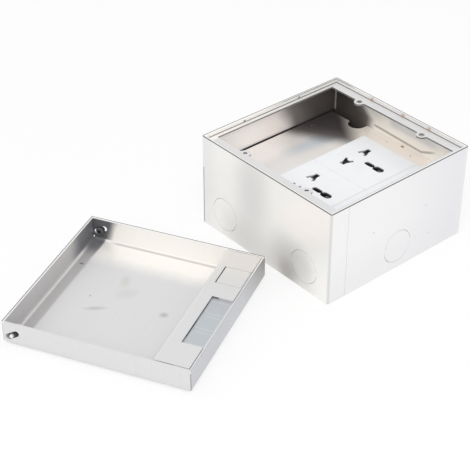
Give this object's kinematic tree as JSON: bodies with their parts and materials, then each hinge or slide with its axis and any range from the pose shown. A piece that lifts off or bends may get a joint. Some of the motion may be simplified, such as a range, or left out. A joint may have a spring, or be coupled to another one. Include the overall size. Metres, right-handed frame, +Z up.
{
  "type": "floor socket box",
  "caption": "Square floor socket box of brushed sheet steel with universal outlets on a deck, and its recessed tray lid lying beside it.",
  "frame": {"origin": "centre of the box's base, on the surface it stands on", "axes": "+Z up out of the box's mouth, +X and +Y along the box's sides; the lid lies on the -Y side"},
  "size_m": [0.2014, 0.364, 0.083],
  "materials": {
    "brushed_sheet": "brushed stainless sheet",
    "plated_steel": "bright zinc plate",
    "spring_steel": "drawn wire",
    "brass": "plain",
    "white_face": "smooth moulded",
    "grey_moulding": "fine texture",
    "black_nylon": "smooth"
  },
  "bodies": {
    "box": {"wall_band": "brushed_sheet", "base_plate": "brushed_sheet", "ledge_frame": "brushed_sheet", "deck_plate": "brushed_sheet", "deck_brackets": "brushed_sheet", "deck_screws": "plated_steel", "deck_nuts": "plated_steel", "frame_screws": "plated_steel", "frame_nuts": "plated_steel", "terminal_screws_far": "plated_steel", "terminal_screws_near": "plated_steel", "shutter_spring_far": "spring_steel", "shutter_spring_near": "spring_steel", "earth_stud": "brass", "earth_washer": "brass", "earth_nut": "brass", "line_contact_far": "brass", "neutral_contact_far": "brass", "earth_contact_far": "brass", "line_contact_near": "brass", "neutral_contact_near": "brass", "earth_contact_near": "brass", "socket_face_far": "white_face", "socket_face_near": "white_face", "socket_frame": "white_face", "socket_housing_far": "grey_moulding", "socket_housing_near": "grey_moulding"},
    "pins": {"hinge_pins": "plated_steel"},
    "sliders": {"hinge_sliders": "black_nylon"},
    "lid": {"lid_tray": "brushed_sheet", "cable_deck": "brushed_sheet", "tab_pin": "plated_steel", "tab_brackets": "brushed_sheet", "flap_brackets": "brushed_sheet", "flap_pin": "plated_steel", "flap_spring": "spring_steel"},
    "tab": {"lift_tab": "brushed_sheet"},
    "flap": {"cable_flap": "brushed_sheet"},
    "shutter_a": {"shutter_far": "grey_moulding"},
    "shutter_b": {"shutter_near": "grey_moulding"}
  },
  "joints": [
    {"name": "lid_lift", "type": "slide", "parent": "box", "child": "pins", "axis": [0, 0, 1], "range_m": [0, 0.15]},
    {"name": "lid_swing", "type": "hinge", "parent": "pins", "child": "sliders", "pos_m": [-0.07378, -0.22053, 0.0104], "axis": [0.4648, -0.8854, 0], "range_deg": [0, 100]},
    {"name": "slot_slide", "type": "slide", "parent": "sliders", "child": "lid", "axis": [0.7509, 0.3942, 0.5299], "range_m": [-0.0029, 0.0029]},
    {"name": "tab_hinge", "type": "hinge", "parent": "lid", "child": "tab", "pos_m": [0.03037, -0.1218, 0.01905], "axis": [-0.4648, 0.8854, 0], "range_deg": [0, 100]},
    {"name": "flap_hinge", "type": "hinge", "parent": "lid", "child": "flap", "pos_m": [0.04242, -0.17896, 0.0182], "axis": [-0.4648, 0.8854, 0], "range_deg": [0, 75], "stiffness_Nm_per_rad": 0.004, "springref_deg": -57.3},
    {"name": "shutter_far_slide", "type": "slide", "parent": "box", "child": "shutter_a", "axis": [-1, 0, 0], "range_m": [0, 0.004], "stiffness_N_per_m": 200, "springref_m": -0.003, "deforming": ["shutter_spring_far"]},
    {"name": "shutter_near_slide", "type": "slide", "parent": "box", "child": "shutter_b", "axis": [-1, 0, 0], "range_m": [0, 0.004], "stiffness_N_per_m": 200, "springref_m": -0.003, "deforming": ["shutter_spring_near"]}
  ]
}
